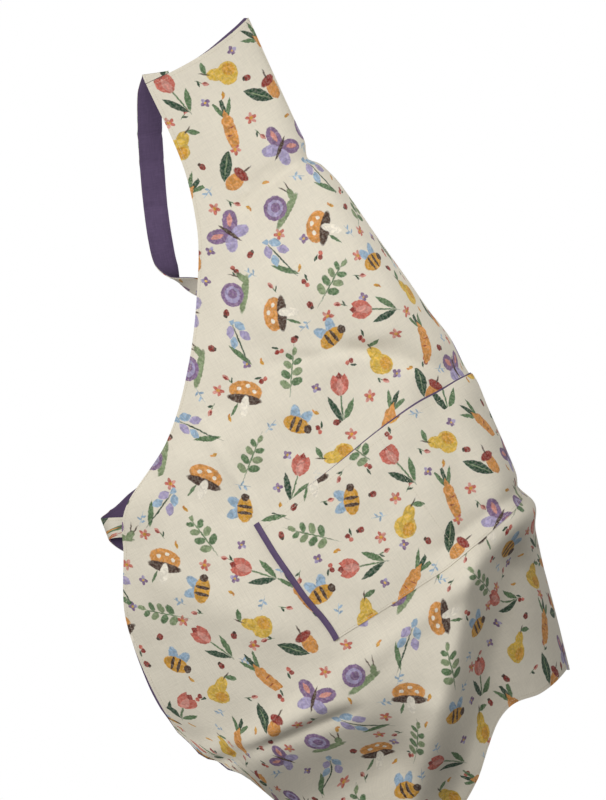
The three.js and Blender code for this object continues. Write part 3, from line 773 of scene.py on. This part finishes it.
def material_named(name):
    """A material by name, made when it is first asked for"""
    if name in bpy.data.materials:
        return bpy.data.materials[name]
    settings = bpy.context.scene.apron
    makers = {
        "Printed cotton": lambda: printed_cotton(settings),
        "Plum dyed cotton": lambda: plum_cotton(settings),
        "Cream thread": lambda: sewing_thread("Cream thread", settings.thread_colour),
        "Plum thread": lambda: sewing_thread("Plum thread", settings.plum_colour),
    }
    return makers[name]()


def stitch_tree():
    """Geometry Nodes: stitches of one thread along curves"""
    name = "Stitches along a seam"
    if name in bpy.data.node_groups:
        return bpy.data.node_groups[name]
    tree = bpy.data.node_groups.new(name, "GeometryNodeTree")
    tree.interface.new_socket("Seam", in_out="INPUT", socket_type="NodeSocketGeometry")
    for label in ("Pitch", "Stitch length", "Thread width"):
        tree.interface.new_socket(label, in_out="INPUT", socket_type="NodeSocketFloat")
    tree.interface.new_socket("Thread", in_out="INPUT", socket_type="NodeSocketMaterial")
    tree.interface.new_socket("Stitches", in_out="OUTPUT", socket_type="NodeSocketGeometry")
    given = add_node(tree, "NodeGroupInput").outputs
    points = add_node(tree, "GeometryNodeCurveToPoints", {"Curve": given["Seam"], "Length": given["Pitch"]},
                      mode="LENGTH")
    half_length = add_node(tree, "ShaderNodeMath", {0: given["Stitch length"], 1: 0.5}, operation="MULTIPLY")
    half_width = add_node(tree, "ShaderNodeMath", {0: given["Thread width"], 1: 0.5}, operation="MULTIPLY")
    size = add_node(tree, "ShaderNodeCombineXYZ", {"X": half_width, "Y": half_width, "Z": half_length})
    along = add_node(tree, "FunctionNodeAlignRotationToVector", {"Vector": points.outputs["Tangent"]},
                     axis="Z")
    bead = add_node(tree, "GeometryNodeMeshIcoSphere", {"Radius": 1.0, "Subdivisions": 1})
    placed = add_node(tree, "GeometryNodeInstanceOnPoints",
                      {"Points": points.outputs["Points"], "Instance": bead.outputs["Mesh"],
                       "Rotation": along, "Scale": size})
    real = add_node(tree, "GeometryNodeRealizeInstances", {0: placed})
    smooth = add_node(tree, "GeometryNodeSetShadeSmooth", {0: real})
    dressed = add_node(tree, "GeometryNodeSetMaterial", {"Geometry": smooth, "Material": given["Thread"]})
    add_node(tree, "NodeGroupOutput", {0: dressed})
    return tree


def sew(name, lines, thread):
    """Stitches along lines of points in metres, as one plain mesh"""
    settings = bpy.context.scene.apron
    curve = bpy.data.curves.new(name, "CURVE")
    curve.dimensions = "3D"
    for line in lines:
        spline = curve.splines.new("POLY")
        spline.points.add(len(line) - 1)
        spline.points.foreach_set("co", np.column_stack([line, np.ones(len(line))]).reshape(-1))
    seam = bpy.data.objects.new(f"{name}_seam", curve)
    bpy.context.collection.objects.link(seam)
    modifier = seam.modifiers.new("Stitches", "NODES")
    modifier.node_group = stitch_tree()
    given = {"Pitch": settings.stitch_pitch, "Stitch length": settings.stitch_length,
             "Thread width": settings.thread_width, "Thread": material_named(thread)}
    for socket in modifier.node_group.interface.items_tree:
        if socket.name in given:
            modifier[socket.identifier] = given[socket.name]
    bpy.context.view_layer.update()
    ready = seam.evaluated_get(bpy.context.evaluated_depsgraph_get())
    mesh = bpy.data.meshes.new_from_object(ready)
    if not mesh.polygons:
        raise RuntimeError(f"{name}: no stitches were made")
    bpy.data.objects.remove(seam)
    stitches = bpy.data.objects.new(name, mesh)
    bpy.context.collection.objects.link(stitches)
    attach(stitches, "root")
    return stitches


def inset(lines, distance):
    """Point at a distance in from the start of each line of points"""
    steps = np.linalg.norm(np.diff(lines, axis=1), axis=-1)
    reach = np.concatenate([np.zeros((len(lines), 1)), np.cumsum(steps, axis=1)], axis=1)
    after = np.argmax(reach >= distance, axis=1)
    rows = np.arange(len(lines))
    before = after - 1
    share = (distance - reach[rows, before]) / (reach[rows, after] - reach[rows, before])
    return lines[rows, before] + (lines[rows, after] - lines[rows, before]) * share[:, None]


def place_cloth(piece, node):
    """Hangs a finished piece of cloth from the root body, and hides the CAD part that it replaces"""
    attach(piece, "root")
    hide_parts(node)


class ApronSettings(bpy.types.PropertyGroup):
    """Sizes and colours that a user would change"""

    ground_colour: bpy.props.FloatVectorProperty(
        name="Ground", description="Colour of the printed cotton's ground", subtype="COLOR",
        default=linear("#e2dac8")[:3])
    plum_colour: bpy.props.FloatVectorProperty(
        name="Plum", description="Colour of the lining, straps and binding", subtype="COLOR",
        default=linear("#5f4e6c")[:3])
    thread_colour: bpy.props.FloatVectorProperty(
        name="Thread", description="Colour of the sewing thread", subtype="COLOR",
        default=linear("#d6ccb6")[:3])
    stitch_pitch: bpy.props.FloatProperty(
        name="Stitch pitch", description="Distance from one stitch to the next",
        default=0.0036, unit="LENGTH")
    stitch_length: bpy.props.FloatProperty(
        name="Stitch length", description="Length of thread that shows",
        default=0.0028, unit="LENGTH")
    thread_width: bpy.props.FloatProperty(
        name="Thread width", description="Width of the sewing thread",
        default=0.0006, unit="LENGTH")
    edge_seam: bpy.props.FloatProperty(
        name="Edge seam", description="Distance of the topstitching from the edges",
        default=0.005, unit="LENGTH")


class APRON_OT_body(bpy.types.Operator):
    """Adds the printed body, its plum lining and the topstitching round their edge"""

    bl_idname = "apron.body"
    bl_label = "Body"

    def execute(self, context):
        points = body_grid()
        normals = front_normals(points)
        flat = cloth_lengths(points, 2 * COLUMNS_PER_QUARTER)
        body = cloth_wall("body_cloth", points, normals, FRONT_LAYER, flat, material_named("Printed cotton"))

        inside = points.copy()
        low = smoothstep(-points[:, :1, 2], *LINING_SHOW_DROPS)
        inside[:, 0] += unit(points[:, 0] - points[:, 1]) * LINING_SHOW * low
        corner = 1 - smoothstep(np.linspace(-1, 1, COLUMNS + 1), *LINING_SHOW_CORNER)[:, None]
        inside[-1] += unit(points[-1] - points[-2]) * LINING_SHOW * corner
        across = column_across(np.arange(COLUMNS + 1.0), np.zeros(COLUMNS + 1))
        rise = smoothstep(across, *LINING_RISE_START) * (1 - smoothstep(across, *LINING_RISE_END))
        inside[0, :, 2] += LINING_RISE * rise
        lining = cloth_wall("body_lining_cloth", inside, normals, BACK_LAYER, flat,
                            material_named("Plum dyed cotton"))

        seam = context.scene.apron.edge_seam / MM
        outside = points + normals * THREAD_PLACE
        lines = [inset(outside, seam), inset(outside[:, ::-1], seam),
                 inset(np.swapaxes(outside, 0, 1), seam), inset(np.swapaxes(outside[::-1], 0, 1), seam)]
        stitches = sew("body_stitches", [hung(line[SEAM_STOP:-SEAM_STOP]) for line in lines], "Cream thread")
        place_cloth(body, "body_print")
        place_cloth(lining, "body_lining")
        return {"FINISHED"}


class APRON_OT_pocket(bpy.types.Operator):
    """Adds the divided patch pocket with its plum facing and binding"""

    bl_idname = "apron.pocket"
    bl_label = "Pocket"

    def execute(self, context):
        points = body_grid()
        normals = front_normals(points)
        rows = slice(ROWS_ABOVE_POCKET, ROWS_ABOVE_POCKET + ROWS_AT_POCKET + 1)
        columns = slice(COLUMNS_PER_QUARTER, 3 * COLUMNS_PER_QUARTER + 1)
        up = 1 - np.linspace(0, 1, ROWS_AT_POCKET + 1)[:, None]
        along = np.linspace(-1, 1, 2 * COLUMNS_PER_QUARTER + 1)
        stand_off = POCKET_GAPE * up**2 * np.maximum(0, along)[None, :]**2
        room = (CLOTH + SEAM_GAP) * smoothstep(up, *POCKET_ROOM)
        lift = HALF_GAP + 2 * CLOTH + SEAM_GAP + room + stand_off
        patch = points[rows, columns] + normals[rows, columns] * lift[..., None]
        facing_up = front_normals(patch)
        flat = cloth_lengths(patch, COLUMNS_PER_QUARTER) + PRINT_SHIFT
        pocket = cloth_wall("pocket_cloth", patch, facing_up, (-CLOTH, 0), flat,
                            material_named("Printed cotton"))

        shown = FACING_SHOW * (FACING_LEAST + (1 - FACING_LEAST) * smoothstep(along, *FACING_GROWTH))
        above = patch[0] + unit(patch[0] - patch[FACING_ROWS]) * shown[:, None]
        band = np.concatenate([above[None], patch[:FACING_ROWS + 1]])
        band_normals = np.concatenate([facing_up[:1], facing_up[:FACING_ROWS + 1]])
        behind = (-2 * CLOTH - SEAM_GAP, -CLOTH - SEAM_GAP)
        facing = cloth_wall("pocket_facing_cloth", band, band_normals, behind,
                            cloth_lengths(band, COLUMNS_PER_QUARTER), material_named("Plum dyed cotton"))

        inward = unit(patch[:, BINDING_SPAN] - patch[:, 0])
        across = np.linspace(-CLOTH, BINDING_WIDTH, BINDING_COLUMNS + 1)
        tape = patch[:, :1] + inward[:, None] * across[None, :, None]
        roll = BINDING_ROLL * np.sin(np.linspace(0, math.pi, BINDING_COLUMNS + 1))
        tape_normals = np.repeat(facing_up[:, :1], BINDING_COLUMNS + 1, axis=1)
        tape = tape + tape_normals * roll[None, :, None]
        binding = cloth_wall("pocket_binding_tape", tape, tape_normals, (2 * SEAM_GAP, 2 * SEAM_GAP + CLOTH),
                             cloth_lengths(tape, 0), material_named("Plum dyed cotton"))

        outside = patch + facing_up * THREAD_LIFT
        lines = [outside[:, COLUMNS_PER_QUARTER + DIVISION_STEP],
                 inset(np.swapaxes(outside[::-1], 0, 1), POCKET_SEAM),
                 inset(outside[:, ::-1], POCKET_SEAM), inset(np.swapaxes(outside, 0, 1), FACING_SEAM)]
        stitches = sew("pocket_stitches", [hung(line) for line in lines], "Cream thread")
        place_cloth(pocket, "pocket_print")
        place_cloth(facing, "pocket_facing")
        place_cloth(binding, "pocket_binding")
        return {"FINISHED"}


def strap_curve(middles, t):
    """Centripetal Catmull-Rom curve through the middles of a strap"""
    ends = np.concatenate([[2 * middles[0] - middles[1]], middles, [2 * middles[-1] - middles[-2]]])
    place = t * (len(middles) - 1)
    i = np.minimum(place.astype(int), len(middles) - 2)
    w = (place - i)[:, None]
    p0, p1, p2, p3 = (ends[i + k] for k in range(4))
    d0, d1, d2 = (np.sqrt(np.linalg.norm(b - a, axis=1))[:, None] for a, b in ((p0, p1), (p1, p2), (p2, p3)))
    t1 = ((p1 - p0) / d0 - (p2 - p0) / (d0 + d1) + (p2 - p1) / d1) * d1
    t2 = ((p2 - p1) / d1 - (p3 - p1) / (d1 + d2) + (p3 - p2) / d2) * d1
    return ((2 * w**3 - 3 * w**2 + 1) * p1 + (w**3 - 2 * w**2 + w) * t1
            + (3 * w**2 - 2 * w**3) * p2 + (w**3 - w**2) * t2)


def strap_root(across, drop, shift):
    """Station where a strap is sewn to the bib"""
    start, end = body_point(np.array(across), np.full(2, drop))
    x, depth, z = (start + end) / 2 + shift
    edge_x, edge_depth, edge_z = end - start
    return Station(x, -z, depth, edge_x, -edge_z, edge_depth, np.linalg.norm(end - start))


def strap_grid(stations):
    """Rows of points along a strap, from the bib to its far end"""
    middles = np.array([(s.x, s.depth, -s.drop) for s in stations], float)
    ways = unit(np.array([(s.edge_x, s.edge_depth, -s.edge_drop) for s in stations], float))
    halves = np.array([s.width / 2 for s in stations])[:, None]
    t = np.linspace(0, 1, STRAP_STEPS + 1)
    place = t * (len(stations) - 1)
    i = np.minimum(place.astype(int), len(stations) - 2)
    w = (place - i)[:, None]
    edges = ways * halves
    edge = unit(edges[i] * (1 - w) + edges[i + 1] * w) * (halves[i] * (1 - w) + halves[i + 1] * w)
    side = np.linspace(-1, 1, STRAP_COLUMNS + 1)
    return strap_curve(middles, t)[:, None] + edge[:, None] * side[None, :, None]


class APRON_OT_straps(bpy.types.Operator):
    """Adds both straps, printed on one side and plum on the other, with topstitching"""

    bl_idname = "apron.straps"
    bl_label = "Straps"

    def execute(self, context):
        left_root = strap_root(LEFT_ROOT, 0, (0, 0, 2 * SEAM_GAP))
        right_root = strap_root(RIGHT_ROOT, RIGHT_ROOT_DROP, (0, RIGHT_ROOT_BACK, 0))
        for name, stations, size, area in (
                ("strap_left", (left_root, *STRAP_LEFT), STRAP_LEFT_FLAT, None),
                ("strap_right", (right_root, *STRAP_RIGHT), STRAP_RIGHT_FLAT, STRAP_RIGHT_AREA)):
            grid = strap_grid(stations)
            normals = front_normals(grid)
            steps = np.linalg.norm(np.diff(grid, axis=0), axis=-1)
            run = np.concatenate([[0], np.cumsum(steps[:, STRAP_COLUMNS // 2])])
            dents = [CREASE_DEPTH * np.exp(-((run - place) / CREASE_REACH) ** 2) for place in STRAP_CREASES]
            grid = grid - normals * np.sum(dents, axis=0)[:, None, None]
            normals = front_normals(grid)
            across = np.linspace(0, STRAP_PRINT_WIDTH, STRAP_COLUMNS + 1)[None].repeat(len(grid), 0)
            along = np.concatenate([np.zeros((1, grid.shape[1])), np.cumsum(steps, axis=0)])
            flat = np.stack([across, along], -1)
            plum = cloth_wall(f"{name}_lining_cloth", grid, normals, FRONT_LAYER, flat,
                              material_named("Plum dyed cotton"))
            printed = cloth_wall(f"{name}_cloth", grid, normals, BACK_LAYER, flat,
                                 material_named("Printed cotton"))
            for colour, side in (("Plum", 1), ("Cream", -1)):
                face = grid + normals * side * THREAD_PLACE
                lines = [hung(inset(face, STRAP_SEAM)), hung(inset(face[:, ::-1], STRAP_SEAM))]
                sew(f"{name}_{colour.lower()}_stitches", lines, f"{colour} thread")
            place_cloth(plum, f"{name}_lining")
            place_cloth(printed, f"{name}_print")
        return {"FINISHED"}


# Camera and light in metres: the photo is 606 by 800 pixels, 1.28 mm to a pixel at the hang point
PIXEL = 1.28 * MM
IMAGE = (606, 800)
HANG_PIXEL = (248, 18)
LENS = 135.0
SENSOR = 36.0
VIEW_END = 50
Lamp = namedtuple("Lamp", "name place aim size spread power")
LAMPS = (
    Lamp("key", (-0.45, -1.1, -0.4), (0.05, 0, -0.5), 0.6, 180, 9.5),
    Lamp("side", (0.95, -0.25, 0.15), (0.14, 0, -0.28), 0.4, 60, 0.48),
    Lamp("fill", (1.4, -2.4, 0.2), (0.1, 0, -0.4), 1.2, 180, 4.4),
)
ROOM_LIGHT = (0.02, 0.56)  # from straight below and from straight above
FLOOR_BELOW = 0.45
FLOOR_CORNERS = ((-1.3, -1.3), (1.5, -1.3), (1.5, 1.0), (-1.3, 1.0))


class APRON_OT_stage(bpy.types.Operator):
    """Adds the camera, the soft studio light and a pale floor"""

    bl_idname = "apron.stage"
    bl_label = "Stage"

    def execute(self, context):
        scene = context.scene
        camera = bpy.data.cameras.new("camera")
        camera.lens = LENS
        camera.sensor_width = SENSOR
        camera.clip_end = VIEW_END
        view = bpy.data.objects.new("camera", camera)
        distance = LENS / SENSOR * IMAGE[1] * PIXEL
        view.location = ((IMAGE[0] / 2 - HANG_PIXEL[0]) * PIXEL, -distance,
                         -(IMAGE[1] / 2 - HANG_PIXEL[1]) * PIXEL)
        view.rotation_euler = (math.radians(90), 0, 0)
        scene.collection.objects.link(view)
        scene.camera = view

        for lamp in LAMPS:
            panel = bpy.data.lights.new(lamp.name, "AREA")
            panel.size = lamp.size
            panel.spread = math.radians(lamp.spread)
            panel.energy = lamp.power
            light = bpy.data.objects.new(lamp.name, panel)
            light.location = lamp.place
            sight = np.array(lamp.aim) - np.array(lamp.place)
            light.rotation_euler = (math.atan2(math.hypot(sight[0], sight[1]), -sight[2]), 0,
                                    math.atan2(-sight[0], sight[1]))
            scene.collection.objects.link(light)

        world = bpy.data.worlds.new("studio")
        world.use_nodes = True
        tree = world.node_tree
        tree.nodes.clear()
        ray = add_node(tree, "ShaderNodeLightPath")
        way = add_node(tree, "ShaderNodeTexCoord")
        height = add_node(tree, "ShaderNodeSeparateXYZ", {0: way.outputs["Generated"]})
        room = add_node(tree, "ShaderNodeMapRange",
                        {"Value": height.outputs["Z"], "From Min": -1.0, "From Max": 1.0,
                         "To Min": ROOM_LIGHT[0], "To Max": ROOM_LIGHT[1]})
        level = add_node(tree, "ShaderNodeMix", {0: ray.outputs["Is Camera Ray"], 2: room, 3: 1.0},
                         data_type="FLOAT")
        back = add_node(tree, "ShaderNodeBackground", {"Color": (1, 1, 1, 1), "Strength": level})
        add_node(tree, "ShaderNodeOutputWorld", {"Surface": back})
        scene.world = world
        scene.view_settings.view_transform = "Standard"

        # Uncoated paper from a roll: matt white with a faint fibre
        paper, tree = new_material("White seamless paper")
        place = add_node(tree, "ShaderNodeTexCoord")
        fibre = add_node(tree, "ShaderNodeTexNoise",
                         {"Vector": place.outputs["Object"], "Scale": 1 / (PAPER_FIBRE * MM)})
        tone = add_node(tree, "ShaderNodeMapRange", {"Value": fibre, "To Min": 0.82, "To Max": 0.88})
        shader = add_node(tree, "ShaderNodeBsdfPrincipled", {"Base Color": tone, "Roughness": 0.9})
        add_node(tree, "ShaderNodeOutputMaterial", {"Surface": shader})
        low = CAD_BOX[0][2] - FLOOR_BELOW
        mesh = bpy.data.meshes.new("floor")
        mesh.from_pydata([(*corner, low) for corner in FLOOR_CORNERS], [], [(0, 1, 2, 3)])
        mesh.materials.append(paper)
        floor = bpy.data.objects.new("floor", mesh)
        scene.collection.objects.link(floor)
        floor.visible_diffuse = False  # no bounce light from below on the low folds
        return {"FINISHED"}


class APRON_PT_build(bpy.types.Panel):
    """Lists the steps that build the apron"""

    bl_label = "Apron"
    bl_space_type = "VIEW_3D"
    bl_region_type = "UI"
    bl_category = "Apron"

    def draw(self, context):
        for operator in OPERATORS:
            self.layout.operator(operator.bl_idname)
        for name in ApronSettings.__annotations__:
            self.layout.prop(context.scene.apron, name)


OPERATORS = (APRON_OT_body, APRON_OT_pocket, APRON_OT_straps, APRON_OT_stage)
CLASSES = (ApronSettings, *OPERATORS, APRON_PT_build)


def register():
    for entry in CLASSES:
        bpy.utils.register_class(entry)
    bpy.types.Scene.apron = bpy.props.PointerProperty(type=ApronSettings)


def unregister():
    del bpy.types.Scene.apron
    for entry in reversed(CLASSES):
        bpy.utils.unregister_class(entry)


def main():
    register()
    bpy.ops.apron.body()
    bpy.ops.apron.pocket()
    bpy.ops.apron.straps()
    bpy.ops.apron.stage()


if __name__ == "__main__":
    main()
